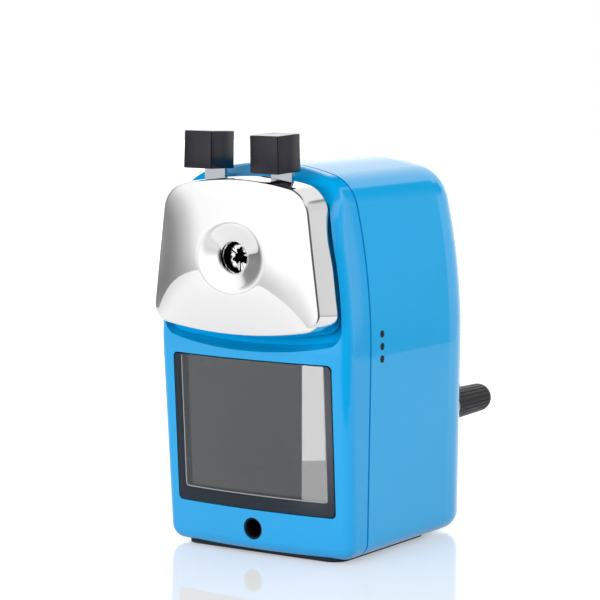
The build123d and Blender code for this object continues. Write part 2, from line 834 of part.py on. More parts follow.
# Springs that draw the carriage in
with BuildPart() as feed_springs:
    spring_front_y = bush_back_y + feed_wire_radius
    spring_length = stop_front_y - feed_wire_radius - spring_front_y
    for side in (-1, 1):
        with BuildLine():
            feed_path = Helix(
                pitch=spring_length / feed_turns,
                height=spring_length,
                radius=feed_coil_radius,
                center=(side * rod_x, spring_front_y, rod_height),
                direction=(0, 1, 0),
            )
        with BuildSketch(Plane(origin=feed_path @ 0, z_dir=feed_path % 0)):
            Circle(feed_wire_radius)
        sweep(is_frenet=True)
feed_springs.part.label = "feed_springs"
export_step(feed_springs.part, "parts/feed_springs.step")

# Pivot pins of the levers and guide pin of the upper jaw
with BuildPart() as lever_pivots:
    pin_places = [(-lever_x, pivot_z), (lever_x, pivot_z), (0, upper_slot_z)]
    head_back_y = jaw_front_y - slide_fit
    with BuildSketch(axis_plane(plate_back_y)):
        with Locations(*pin_places):
            Circle(pivot_radius)
    extrude(amount=plate_back_y - head_back_y)
    with BuildSketch(axis_plane(head_back_y)):
        with Locations(*pin_places):
            Circle(pivot_head_radius)
    extrude(amount=pivot_head_thickness)
lever_pivots.part.label = "lever_pivots"
export_step(lever_pivots.part, "parts/lever_pivots.step")

# Torsion springs on the lever pivots
with BuildPart() as lever_springs:
    coil_front_y = (lever_front_y + jaw_front_y) / 2 - lever_coil_length / 2
    for side in (-1, 1):
        with BuildLine():
            coil_path = Helix(
                pitch=lever_coil_length / lever_coil_turns,
                height=lever_coil_length,
                radius=lever_coil_radius,
                center=(side * lever_x, coil_front_y, axis_height + pivot_z),
                direction=(0, 1, 0),
            )
        with BuildSketch(Plane(origin=coil_path @ 0, z_dir=coil_path % 0)):
            Circle(lever_wire_radius)
        sweep(is_frenet=True)
lever_springs.part.label = "lever_springs"
export_step(lever_springs.part, "parts/lever_springs.step")

# Screws between the plate and the cover's posts
with BuildPart() as cover_screws:
    with BuildSketch(axis_plane(plate_back_y)):
        with Locations(*post_places()):
            Circle(post_hole_radius)
    extrude(amount=plate_thickness + (plate_front_y - cover_edge_y) / 2)
    with BuildSketch(axis_plane(plate_back_y)):
        with Locations(*post_places()):
            Circle(2 * post_hole_radius)
    extrude(amount=-cover_back_gap / 2)
cover_screws.part.label = "cover_screws"
export_step(cover_screws.part, "parts/cover_screws.step")

# Levers, jaws and buttons of the clamp, left and right alike
for side, word in ((-1, "left"), (1, "right")):
    with BuildPart() as lever:
        with BuildSketch(axis_plane(lever_back_y)):
            with Locations((side * lever_x, (pivot_z + stem_top) / 2)):
                Rectangle(2 * stem_half_width, stem_top - pivot_z)
            with Locations((side * lever_x, pivot_z)):
                Circle(pivot_boss_radius)
            arm_middle = (side * (lever_x + lever_arm_x) / 2, (pivot_z + lever_arm_z) / 2)
            SlotCenterPoint(arm_middle, (side * lever_x, pivot_z), lever_arm_width)
            Circle(jaw_clear_radius, mode=Mode.SUBTRACT)
            with Locations((side * lever_x, pivot_z)):
                Circle(pivot_radius + running_fit, mode=Mode.SUBTRACT)
        extrude(amount=lever_thickness)
    lever.part.label = word + "_lever"
    export_step(lever.part, "parts/" + word + "_lever.step")

    with BuildPart() as jaw:
        jaw_turn = jaw_centre_angle if side < 0 else 180 - jaw_centre_angle
        with BuildSketch(axis_plane(lever_front_y)):
            add(jaw_outline(jaw_turn, jaw_span))
        extrude(amount=jaw_thickness)
    jaw.part.label = word + "_jaw"
    export_step(jaw.part, "parts/" + word + "_jaw.step")

    with BuildPart() as button:
        button_front_y = front_y - button_front
        button_middle_y = button_front_y + button_depth / 2
        foot_height = axis_height + button_bottom
        for height, grow in ((foot_height, button_draft), (foot_height + button_height, -button_draft)):
            with BuildSketch(Plane.XY.offset(height)):
                with Locations((side * lever_x, button_middle_y)):
                    Rectangle(button_width + 2 * grow, button_depth + 2 * grow)
        loft()
        fillet(button.edges(), button_round)
        with BuildSketch(Plane.XY.offset(foot_height)):
            with Locations((side * lever_x, (lever_front_y + lever_back_y) / 2)):
                Rectangle(2 * stem_half_width, lever_thickness)
        extrude(amount=stem_top - button_bottom, mode=Mode.SUBTRACT)
    button.part.label = word + "_button"
    export_step(button.part, "parts/" + word + "_button.step")

# Upper jaw, slotted on its guide pin
with BuildPart() as upper_jaw:
    with BuildSketch(axis_plane(lever_front_y - slide_fit)):
        add(jaw_outline(90, upper_jaw_span))
        with Locations((0, (jaw_outer_radius + upper_stem_top) / 2)):
            Rectangle(2 * upper_stem_half_width, upper_stem_top - jaw_outer_radius + jaw_radius)
        with Locations((0, upper_slot_z - jaw_travel / 2)):
            SlotCenterToCenter(
                jaw_travel + 2 * loose_fit,
                2 * (pivot_radius + running_fit),
                rotation=90,
                mode=Mode.SUBTRACT,
            )
    extrude(amount=jaw_thickness - slide_fit)
upper_jaw.part.label = "upper_jaw"
export_step(upper_jaw.part, "parts/upper_jaw.step")

# Cutter carrier: open barrel, neck through the ring gear and rear disc
with BuildPart() as cutter_carrier:
    with BuildSketch(axis_plane(carrier_front_y)):
        Circle(carrier_radius)
    extrude(amount=carrier_front_y - neck_start_y)
    with BuildSketch(axis_plane(neck_start_y)):
        Circle(carrier_neck_radius)
    extrude(amount=neck_start_y - disc_start_y)
    slot_front_y = carrier_front_y + carrier_front_wall
    slot_length = (disc_start_y - slot_front_y) / cos(radians(cutter_tilt)) - cutter_radius * tilt_slope
    with BuildSketch(spindle_plane(slot_front_y)):
        Circle(cutter_radius + cutter_clearance)
        with Locations((0, -carrier_radius / 2)):
            Rectangle(2 * (cutter_radius + cutter_clearance), carrier_radius)
    extrude(amount=slot_length, mode=Mode.SUBTRACT)
    with BuildSketch(axis_plane(disc_start_y)):
        Circle(carrier_disc_radius)
    extrude(amount=-carrier_disc_thickness)
    with BuildSketch(Plane.YZ):
        with BuildLine():
            taper_start_y = point_y - pencil_radius / tilt_slope
            Line((carrier_front_y, axis_height), (carrier_front_y, axis_height + guide_radius + loose_fit))
            bore_end = (carrier_front_y + carrier_front_wall, axis_height + guide_radius + loose_fit)
            Line((carrier_front_y, axis_height + guide_radius + loose_fit), bore_end)
            Line(bore_end, (carrier_front_y + carrier_front_wall, axis_height + pencil_radius))
            cone_start = (taper_start_y, axis_height + pencil_radius)
            Line((carrier_front_y + carrier_front_wall, axis_height + pencil_radius), cone_start)
            Line(cone_start, (point_y, axis_height))
            Line((point_y, axis_height), (carrier_front_y, axis_height))
        make_face()
    revolve(axis=Axis((0, 0, axis_height), (0, 1, 0)), mode=Mode.SUBTRACT)
    with BuildSketch(spindle_plane(carrier_front_y)):
        Circle(spindle_radius)
    extrude(amount=spindle_length, mode=Mode.SUBTRACT)
cutter_carrier.part.label = "cutter_carrier"
export_step(cutter_carrier.part, "parts/cutter_carrier.step")

# Spindle that carries the cutter
with BuildPart() as cutter_spindle:
    with BuildSketch(spindle_plane(carrier_front_y)):
        Circle(spindle_radius)
    extrude(amount=spindle_length)
cutter_spindle.part.label = "cutter_spindle"
export_step(cutter_spindle.part, "parts/cutter_spindle.step")

# Helical cutter
with BuildPart() as cutter:
    for step in range(cutter_steps + 1):
        y = cutter_front_y + (point_y - cutter_front_y) * step / cutter_steps
        turn = radians(cutter_twist) * step / cutter_steps
        with BuildSketch(spindle_plane(y)):
            Polygon(*tooth_points(cutter_teeth, cutter_radius, cutter_root, turn), align=None)
    loft(ruled=True)
    with BuildSketch(spindle_plane(cutter_front_y - cutter_radius)):
        Circle(spindle_radius + running_fit)
    extrude(amount=body_depth, mode=Mode.SUBTRACT)
cutter.part.label = "cutter"
export_step(cutter.part, "parts/cutter.step")

# Pinion on the cutter
with BuildPart() as cutter_pinion:
    for y in (gear_front_y, gear_back_y):
        share = (apex_y - y) / (apex_y - gear_middle_y)
        tip = (pinion_pitch + tooth_addendum) * share
        root = (pinion_pitch - tooth_dedendum) * share
        with BuildSketch(spindle_plane(y)):
            Polygon(*tooth_points(pinion_teeth, tip, root, pi / 2), align=None)
    loft(ruled=True)
    with BuildSketch(spindle_plane(point_y)):
        Circle(pinion_pitch - tooth_dedendum - cutter_clearance)
    extrude(amount=(gear_front_y - point_y) / cos(radians(cutter_tilt)) + cutter_clearance)
    with BuildSketch(spindle_plane(cutter_front_y)):
        Circle(spindle_radius + running_fit)
    extrude(amount=body_depth, mode=Mode.SUBTRACT)
cutter_pinion.part.label = "cutter_pinion"
export_step(cutter_pinion.part, "parts/cutter_pinion.step")

# Crank shaft
with BuildPart() as crank_shaft:
    with BuildSketch(axis_plane(carrier_back_y)):
        Circle(shaft_radius)
    extrude(amount=carrier_back_y - arm_back_y)
crank_shaft.part.label = "crank_shaft"
export_step(crank_shaft.part, "parts/crank_shaft.step")

# Crank arm
with BuildPart() as crank_arm:
    with BuildSketch(axis_plane(arm_front_y)):
        SlotCenterPoint((knob_x / 2, -knob_drop / 2), (knob_x, -knob_drop), 2 * arm_end_radius)
        Circle(arm_hub_radius)
        Circle(shaft_radius, mode=Mode.SUBTRACT)
        with Locations((knob_x, -knob_drop)):
            Circle(knob_pin_radius, mode=Mode.SUBTRACT)
    extrude(amount=-arm_thickness)
crank_arm.part.label = "crank_arm"
export_step(crank_arm.part, "parts/crank_arm.step")

# Nut that holds the arm on the shaft
with BuildPart() as crank_nut:
    with BuildSketch(axis_plane(arm_back_y)):
        RegularPolygon(nut_radius, nut_sides)
    extrude(amount=-nut_height)
    fillet(crank_nut.faces().sort_by(Axis.Y)[-1].edges(), nut_edge_round)
crank_nut.part.label = "crank_nut"
export_step(crank_nut.part, "parts/crank_nut.step")

# Pin in the arm that carries the knob
with BuildPart() as knob_pin:
    with BuildSketch(axis_plane(arm_front_y)):
        with Locations((knob_x, -knob_drop)):
            Circle(knob_pin_radius)
    extrude(amount=-(arm_thickness + knob_gap + knob_bore_depth - loose_fit))
knob_pin.part.label = "knob_pin"
export_step(knob_pin.part, "parts/knob_pin.step")

# Fluted crank knob with a domed end
with BuildPart() as crank_knob:
    knob_z = axis_height - knob_drop
    knob_axis = Axis((knob_x, 0, knob_z), (0, 1, 0))
    dome_y = knob_front_y + knob_length - knob_end_radius
    with BuildSketch(Plane.YZ.offset(knob_x)):
        with BuildLine():
            Line((knob_front_y, knob_z), (knob_front_y, knob_z + knob_radius))
            Line((knob_front_y, knob_z + knob_radius), (dome_y, knob_z + knob_end_radius))
            knob_tip = (knob_front_y + knob_length, knob_z)
            RadiusArc((dome_y, knob_z + knob_end_radius), knob_tip, knob_end_radius)
            Line(knob_tip, (knob_front_y, knob_z))
        make_face()
    revolve(axis=knob_axis)
    with BuildSketch(axis_plane(knob_front_y)):
        with Locations((knob_x, -knob_drop)):
            Circle(knob_pin_radius + running_fit)
    extrude(amount=-knob_bore_depth, mode=Mode.SUBTRACT)
    with BuildSketch(axis_plane(knob_front_y + knob_radius / 2)):
        with Locations((knob_x, -knob_drop)):
            with PolarLocations(knob_radius + knob_flute_radius / 2, knob_flutes):
                Circle(knob_flute_radius)
    extrude(amount=-knob_length, mode=Mode.SUBTRACT)
crank_knob.part.label = "crank_knob"
export_step(crank_knob.part, "parts/crank_knob.step")
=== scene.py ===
import math

import bmesh
import bpy
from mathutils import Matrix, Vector


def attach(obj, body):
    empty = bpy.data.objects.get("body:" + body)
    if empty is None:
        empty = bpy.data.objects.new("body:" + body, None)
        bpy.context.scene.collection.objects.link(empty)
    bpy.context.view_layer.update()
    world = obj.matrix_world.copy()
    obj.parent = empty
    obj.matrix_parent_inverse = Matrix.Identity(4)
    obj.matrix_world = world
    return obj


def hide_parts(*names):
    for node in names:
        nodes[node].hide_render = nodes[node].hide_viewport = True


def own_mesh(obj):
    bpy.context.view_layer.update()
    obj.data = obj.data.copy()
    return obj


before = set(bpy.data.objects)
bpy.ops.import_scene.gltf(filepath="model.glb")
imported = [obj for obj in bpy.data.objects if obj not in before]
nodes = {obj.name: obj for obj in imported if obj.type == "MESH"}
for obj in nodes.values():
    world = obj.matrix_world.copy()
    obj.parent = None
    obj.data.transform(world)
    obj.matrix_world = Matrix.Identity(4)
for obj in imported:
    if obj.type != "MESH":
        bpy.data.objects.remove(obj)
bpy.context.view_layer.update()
mm = 0.001
print("frame loaded:", len(nodes), "nodes")


class Wire:  # a socket that takes part in shader maths
    def __init__(self, finish, socket):
        self.finish = finish
        self.socket = socket

    def calc(self, operation, first, second):
        return self.finish.add("ShaderNodeMath", {"operation": operation}, {0: first, 1: second})

    def __add__(self, other):
        return self.calc("ADD", self, other)

    def __radd__(self, other):
        return self.calc("ADD", other, self)

    def __sub__(self, other):
        return self.calc("SUBTRACT", self, other)

    def __rsub__(self, other):
        return self.calc("SUBTRACT", other, self)

    def __mul__(self, other):
        return self.calc("MULTIPLY", self, other)

    def __rmul__(self, other):
        return self.calc("MULTIPLY", other, self)

    def __gt__(self, other):
        return self.calc("GREATER_THAN", self, other)

    def __lt__(self, other):
        return self.calc("LESS_THAN", self, other)


class Finish:  # a node tree with one way of adding nodes
    def __init__(self, owner):
        owner.use_nodes = True
        self.owner = owner
        self.tree = owner.node_tree

    def add(self, kind, settings, sockets, out=0):
        node = self.tree.nodes.new(kind)
        for key, value in settings.items():
            if key == "stops":
                setStops(node.color_ramp, value)
            else:
                setattr(node, key, value)
        for key, value in sockets.items():
            self.put(node.inputs[key], value)
        return Wire(self, node.outputs[out])

    def put(self, socket, value):
        if isinstance(value, Wire):
            self.tree.links.new(value.socket, socket)
        else:
            socket.default_value = value

    def feed(self, **sockets):  # Principled sockets by name, with spaces left out
        shader = self.tree.nodes["Principled BSDF"]
        for socket in shader.inputs:
            value = sockets.get(socket.name.replace(" ", ""))
            if value is not None:
                self.put(socket, value)

    def place(self):
        return self.add("ShaderNodeTexCoord", {}, {}, "Object")

    def noise(self, scale, detail=2.0):
        sockets = {"Vector": self.place(), "Scale": scale, "Detail": detail}
        return self.add("ShaderNodeTexNoise", {}, sockets, "Fac")

    def mix(self, share, first, second):
        return self.add("ShaderNodeMix", {"data_type": "RGBA"}, {0: share, 6: first, 7: second}, 2)

    def part(self, vector, axis):  # one number of a vector
        return self.add("ShaderNodeSeparateXYZ", {}, {0: vector}, axis)

    def fade(self, value, start, end):  # 0 at the start, 1 at the end, smooth between
        sockets = {"Value": value, "From Min": start, "From Max": end}
        return self.add("ShaderNodeMapRange", {"interpolation_type": "SMOOTHSTEP"}, sockets)

    def bump(self, height, depth, strength):
        sockets = {"Height": height, "Distance": depth, "Strength": strength}
        return self.add("ShaderNodeBump", {}, sockets)

    def main(self):  # what the Principled shader gives
        return Wire(self, self.tree.nodes["Principled BSDF"].outputs[0])

    def show(self, shader):
        self.put(self.tree.nodes["Material Output"].inputs["Surface"], shader)


def setStops(ramp, stops):
    while len(ramp.elements) < len(stops):
        ramp.elements.new(1.0)
    for element, (position, colour) in zip(ramp.elements, stops):
        element.position = position
        element.color = colour


def newFinish(name):
    return Finish(bpy.data.materials.new(name))


def shade(colour, factor):  # the same colour, darker or lighter
    return tuple(min(1.0, part * factor) for part in colour[:3]) + (1.0,)


# Finishes: glossy moulded shells
mouldLook = dict(
    rough=0.10, roughShare=(0.7, 0.4, 0.2), tones=(0.95, 1.05), cloud=28, peel=1500, dust=6000,
    peelDepth=0.00003, peelStrength=0.06, ior=1.5,
)
housingLook = dict(
    mouldLook, name="housingBlue", colour=(0.002, 0.345, 0.700, 1),
    leanY=(0.0195, 0.0203), leanZ=(-0.02, -0.01), lean=0.045, coat=0.0,
)
bezelLook = dict(
    mouldLook, name="bezelBlue", colour=(0.001, 0.325, 0.690, 1),
    leanY=(-0.0265, -0.0335), leanZ=(0.055, 0.085), lean=-0.10, coat=1.0,
    recessY=(-0.0357, -0.0347), recessLow=(0.0612, 0.0626), recessHigh=(0.1132, 0.1122),
    recessSide=(0.0383, 0.0376), recessSlope=0.105,
)


def mouldedPlastic(look):
    finish = newFinish(look["name"])
    cloud = finish.noise(look["cloud"], detail=3.0)
    peel = finish.noise(look["peel"], detail=1.0)
    dust = finish.noise(look["dust"])
    tone = finish.mix(cloud, *(shade(look["colour"], factor) for factor in look["tones"]))
    base, cloudy, dusty = (look["rough"] * share for share in look["roughShare"])
    grain = finish.bump(peel, look["peelDepth"], look["peelStrength"])
    spot = finish.place()  # the moulded edge rolls over gently towards the end of the piece
    end = finish.fade(finish.part(spot, "Y"), *look["leanY"])
    edge = end * finish.fade(finish.part(spot, "Z"), *look["leanZ"])
    tilt = finish.add("ShaderNodeCombineXYZ", {}, {"Y": edge * look["lean"]})
    bare = finish.add("ShaderNodeNewGeometry", {}, {}, "Normal")
    leaning = finish.add("ShaderNodeVectorMath", {"operation": "ADD"}, {0: bare, 1: tilt})
    straight = finish.add("ShaderNodeVectorMath", {"operation": "NORMALIZE"}, {0: leaning})
    finish.put(grain.socket.node.inputs["Normal"], straight)
    finish.feed(
        BaseColor=tone,
        Roughness=base + cloud * cloudy + dust * dusty,
        Normal=grain,
        CoatWeight=edge * look["coat"],
        IOR=look["ior"],
    )
    if "recessY" in look:  # the hollow behind the face is deep in shade and shows no gloss
        x = finish.part(spot, "X")
        z = finish.part(spot, "Z")
        width = x.calc("ABSOLUTE", x, 0) + z * look["recessSlope"]
        inside = finish.fade(width, *look["recessSide"]) * finish.fade(z, *look["recessLow"])
        inside = inside * finish.fade(z, *look["recessHigh"])
        deep = inside * finish.fade(finish.part(spot, "Y"), *look["recessY"])
        matt = finish.add("ShaderNodeBsdfDiffuse", {}, {"Color": tone})
        finish.show(finish.add("ShaderNodeMixShader", {}, {0: deep, 1: finish.main(), 2: matt}))
    return finish.owner


# Polished and plated metal
plateLook = dict(dull=0.985, fineness=60, roughShare=(0.6, 0.6, 0.2))
chromeLook = dict(plateLook, name="mirrorChrome", colour=(0.80, 0.80, 0.805, 1), rough=0.035, smear=60)
zincLook = dict(plateLook, name="brightZinc", colour=(0.43, 0.455, 0.49, 1), rough=0.12, smear=90)
jawLook = dict(plateLook, name="jawSteel", colour=(0.78, 0.78, 0.79, 1), rough=0.10, smear=200)


def plated(look):
    finish = newFinish(look["name"])
    smear = finish.noise(look["smear"], detail=4.0)
    fine = finish.noise(look["smear"] * look["fineness"])
    base, smeared, flecked = (look["rough"] * share for share in look["roughShare"])
    finish.feed(
        BaseColor=finish.mix(smear, shade(look["colour"], look["dull"]), look["colour"]),
        Metallic=1.0,
        Roughness=base + smear * smeared + fine * flecked,
    )
    return finish.owner


# Plain steel inside and on the crank
steelLook = dict(
    name="satinSteel", colour=(0.56, 0.56, 0.57, 1), dull=0.85, rough=0.3, roughShare=(0.7, 0.6),
    grain=900, cloud=75, bumpDepth=0.00002, bumpStrength=0.15,
)


def satinMetal(look):
    finish = newFinish(look["name"])
    grain = finish.noise(look["grain"], detail=5.0)
    cloud = finish.noise(look["cloud"])
    base, grainy = (look["rough"] * share for share in look["roughShare"])
    finish.feed(
        BaseColor=finish.mix(cloud, shade(look["colour"], look["dull"]), look["colour"]),
        Metallic=1.0,
        Roughness=base + grain * grainy,
        Normal=finish.bump(grain, look["bumpDepth"], look["bumpStrength"]),
    )
    return finish.owner


# Dark plastics, rubber, print and trim
mattLook = dict(tones=(0.8, 1.25), cloudShare=1 / 30, roughShare=(0.8, 0.4), bumpDepth=0.00004, bumpStrength=0.25)
capLook = dict(mattLook, name="buttonBlack", colour=(0.006, 0.006, 0.012, 1), rough=0.2, grain=2600, ior=1.42)
innerLook = dict(mattLook, name="innerBlack", colour=(0.010, 0.010, 0.011, 1), rough=0.5, grain=1800, ior=1.35)
knobLook = dict(mattLook, name="knobBlack", colour=(0.008, 0.008, 0.010, 1), rough=0.4, grain=2200, ior=1.26)
knobLook.update(axis=(0.0192, 0.0360), flutes=24.0, grainShare=0.05, waveShare=0.5, bumpDepth=0.0003, bumpStrength=0.8)
padLook = dict(mattLook, name="padRubber", colour=(0.02, 0.02, 0.02, 1), rough=0.8, grain=1200, ior=1.4)
# pale grey for the line round the drawer's window: a painted highlight for the light on the clear drawer's inner corner
highlightEdgeLook = dict(mattLook, name="paintedHighlightEdge", colour=(0.30, 0.31, 0.33, 1), rough=0.3, grain=1500, ior=1.45)
inkLook = dict(mattLook, name="printedInk", colour=(0.004, 0.008, 0.016, 1), rough=0.45, grain=3000, ior=1.25)


def mattPlastic(look):
    finish = newFinish(look["name"])
    grain = finish.noise(look["grain"], detail=3.0)
    cloud = finish.noise(look["grain"] * look["cloudShare"])
    base, grainy = (look["rough"] * share for share in look["roughShare"])
    height = grain
    if "flutes" in look:  # deepens the knob's own grooves
        spot = finish.place()
        x = finish.part(spot, "X") - look["axis"][0]
        z = finish.part(spot, "Z") - look["axis"][1]
        wave = x.calc("COSINE", x.calc("ARCTAN2", z, x) * look["flutes"], 0)
        height = grain * look["grainShare"] - wave * look["waveShare"]
    finish.feed(
        BaseColor=finish.mix(cloud, *(shade(look["colour"], factor) for factor in look["tones"])),
        Roughness=base + grain * grainy,
        Normal=finish.bump(height, look["bumpDepth"], look["bumpStrength"]),
        IOR=look["ior"],
    )
    return finish.owner


# Smoky drawer, with a dark frame printed round its window
smokeLook = dict(
    name="smokyClear", colour=(0.55, 0.55, 0.58, 1), dull=0.97, rough=0.015, scuff=240, ior=1.49,
    coat=0.4, coatIor=1.6, coatRough=0.015, frame=(0.008, 0.014, 0.023, 1), frameTones=(0.85, 1.2),
    frameRough=0.24, frameRoughShare=(0.9, 0.2), frameGrain=1920, frameIor=1.33,
    left=-0.0249, right=0.0257, sill=0.0182, plate=-0.0335,
)


def smokyPlastic(look):
    finish = newFinish(look["name"])
    scuff = finish.noise(look["scuff"], detail=4.0)
    finish.feed(
        BaseColor=finish.mix(scuff, shade(look["colour"], look["dull"]), look["colour"]),
        Roughness=look["rough"] + scuff * look["rough"],
        TransmissionWeight=1.0,
        CoatWeight=look["coat"],
        CoatIOR=look["coatIor"],
        CoatRoughness=look["coatRough"],
        IOR=look["ior"],
    )
    grain = finish.noise(look["frameGrain"], detail=3.0)
    base, grainy = (look["frameRough"] * share for share in look["frameRoughShare"])
    sockets = {
        "Base Color": finish.mix(grain, *(shade(look["frame"], factor) for factor in look["frameTones"])),
        "Roughness": base + grain * grainy,
        "IOR": look["frameIor"],
    }
    clear = finish.main()
    dark = finish.add("ShaderNodeBsdfPrincipled", {}, sockets)
    spot = finish.place()
    x = finish.part(spot, "X")
    across = (x > look["right"]) + (x < look["left"])
    low = look["sill"] > finish.part(spot, "Z")
    front = look["plate"] > finish.part(spot, "Y")
    rim = across.calc("MAXIMUM", across, low) * front
    finish.show(finish.add("ShaderNodeMixShader", {}, {0: rim, 1: clear, 2: dark}))
    return finish.owner


housingBlue = mouldedPlastic(housingLook)
bezelBlue = mouldedPlastic(bezelLook)
mirrorChrome = plated(chromeLook)
satinSteel = satinMetal(steelLook)
buttonBlack = mattPlastic(capLook)
innerBlack = mattPlastic(innerLook)
knobBlack = mattPlastic(knobLook)
padRubber = mattPlastic(padLook)
smokyClear = smokyPlastic(smokeLook)
printedInk = mattPlastic(inkLook)
brightZinc = plated(zincLook)
jawSteel = plated(jawLook)
# the pale line's finish is a painted highlight, not a trim colour
paintedHighlightEdge = mattPlastic(highlightEdgeLook)
print("finishes made:", len(bpy.data.materials))


# Which finish each CAD piece wears
dress = {
    housingBlue: ["rear_housing"],
    bezelBlue: ["front_bezel"],
    mirrorChrome: ["face_cover", "guide_rods"],
    satinSteel: [
        "housing_screws", "ring_gear", "feed_springs", "carriage_plate", "rod_stops", "lever_pivots",
        "lever_springs", "cover_screws", "cutter_spindle", "crank_shaft", "crank_arm", "crank_nut",
        "knob_pin", "cutter", "cutter_pinion",
    ],
    buttonBlack: ["left_button", "right_button"],
    innerBlack: [
        "drawer_shelf", "gear_cup", "pencil_guide", "crank_bearing", "rod_bushes", "cutter_carrier",
    ],
    brightZinc: ["left_lever", "right_lever"],
    jawSteel: ["left_jaw", "right_jaw", "upper_jaw"],
    knobBlack: ["crank_knob"],
    padRubber: ["base_pad"],
    smokyClear: ["drawer"],
}
for material, names in dress.items():
    for name in names:
        nodes[name].data.materials.clear()
        nodes[name].data.materials.append(material)
print("CAD pieces dressed:", sum(len(names) for names in dress.values()))


# Modelling helpers: one piece at a time, picked by place or facing
def freshStart():
    bpy.ops.object.select_all(action="DESELECT")


def pick(piece, kind, test):
    bpy.ops.mesh.select_mode(type=kind)
    bpy.ops.mesh.select_all(action="DESELECT")
    edit = bmesh.from_edit_mesh(piece.data)
    items = {"VERT": edit.verts, "EDGE": edit.edges, "FACE": edit.faces}[kind]
    for item in items:
        item.select_set(test(item))
    edit.select_flush_mode()
    bmesh.update_edit_mesh(piece.data)


def harden(piece, kind, **settings):  # add a modifier and apply it
    modifier = piece.modifiers.new(kind.title(), kind)
    for key, value in settings.items():
        setattr(modifier, key, value)
    bpy.ops.object.modifier_apply(modifier=modifier.name)


def softEdges(piece, width, segments, angle):  # bevels the edges that turn by more than the angle
    limit = math.radians(angle)
    harden(piece, "BEVEL", width=width * mm, segments=segments, limit_method="ANGLE", angle_limit=limit)


smoothAngle = math.radians(32)


def finishPiece(piece, name, material, body, slot, *standsFor):
    bpy.ops.object.transform_apply(location=True, rotation=True, scale=True)
    bpy.ops.object.shade_smooth_by_angle(angle=smoothAngle)
    piece.name = name
    piece.data.name = name
    piece.data.materials.clear()
    piece.data.materials.append(material)
    if standsFor:
        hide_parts(*standsFor)
    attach(piece, body)
    return piece


# Plated face: hole, dish, pillow, crisp edge, flared wall with two lever slots
faceLook = dict(
    name="chromeFace", axisZ=89.4, halfTop=24.9, halfBottom=29.9, top=112.2, topSag=3.4, bottom=66.7, bottomSag=3.2,
    roundTop=5.5, roundBottom=5.0, edgeY=-45.1, backY=-35.7, crown=2.6, reach=22.8, dish=11.95, dishDepth=1.9,
    hole=4.6, sleeve=1.6, lip=((0.0, 0.35), (0.1, 0.1)), soft=0.4, bevel=0.65, rollTurns=(22.5, 45, 67.5, 90),
    flare=1.8, flareTop=0.7, flareFrom=-3.4, flareSpan=18, wall=1.2, wallY=(-43.4, -41.4), backLip=(0.3, 0.25),
    slotY=(-38.85, -36.95), slotX=(4.6, 16.1), sides=192, search=(5.0, 60.0), searchSteps=40,
    dishRings=(5.1, 5.8, 6.8, 7.8, 8.6, 9.3, 9.9, 10.4, 10.9, 11.4, 11.9, 12.4, 13.0, 14.0),
    pillowShares=(0.12, 0.26, 0.4, 0.53, 0.65, 0.75, 0.84, 0.91, 0.96, 1.0),
)


def roundedGap(first, second, radius):
    outer = math.hypot(max(first + radius, 0), max(second + radius, 0))
    return outer + min(max(first, second) + radius, 0) - radius


def faceGap(look, x, z):  # below zero inside the outline
    x = abs(x)
    top = z - look["top"] + look["topSag"] * (x / look["halfTop"]) ** 2
    low = look["bottom"] + look["bottomSag"] * (x / look["halfBottom"]) ** 2 - z
    lowZ = look["bottom"] + look["bottomSag"]
    slope = (look["halfTop"] - look["halfBottom"]) / (look["top"] - look["topSag"] - lowZ)
    side = (x - look["halfBottom"] - slope * (z - lowZ)) / math.hypot(1, slope)
    return max(roundedGap(top, side, look["roundTop"]), roundedGap(low, side, look["roundBottom"]))


def faceRadius(look, angle, inset):  # from the axis out to the outline
    near, far = look["search"]
    for attempt in range(look["searchSteps"]):
        middle = (near + far) / 2
        if faceGap(look, middle * math.cos(angle), look["axisZ"] + middle * math.sin(angle)) < -inset:
            near = middle
        else:
            far = middle
    return near


def faceDepth(look, x, z):  # pillow with the dish sunk into it
    v = (z - look["axisZ"]) / look["reach"]
    u = x / (look["halfBottom"] + (look["halfTop"] - look["halfBottom"]) * (v + 1) / 2)
    pillow = look["edgeY"] - look["crown"] * (1 - 0.5 * u**2 - 0.5 * u**4) * (1 - v**2)
    radius = math.hypot(x, z - look["axisZ"])
    steep = look["dishDepth"] / (look["dish"] - look["hole"])
    cone = look["edgeY"] - look["crown"] + steep * (look["dish"] - radius)
    blend = max(look["soft"] - abs(pillow - cone), 0) / look["soft"]
    return max(pillow, cone) + blend**2 * look["soft"] / 4


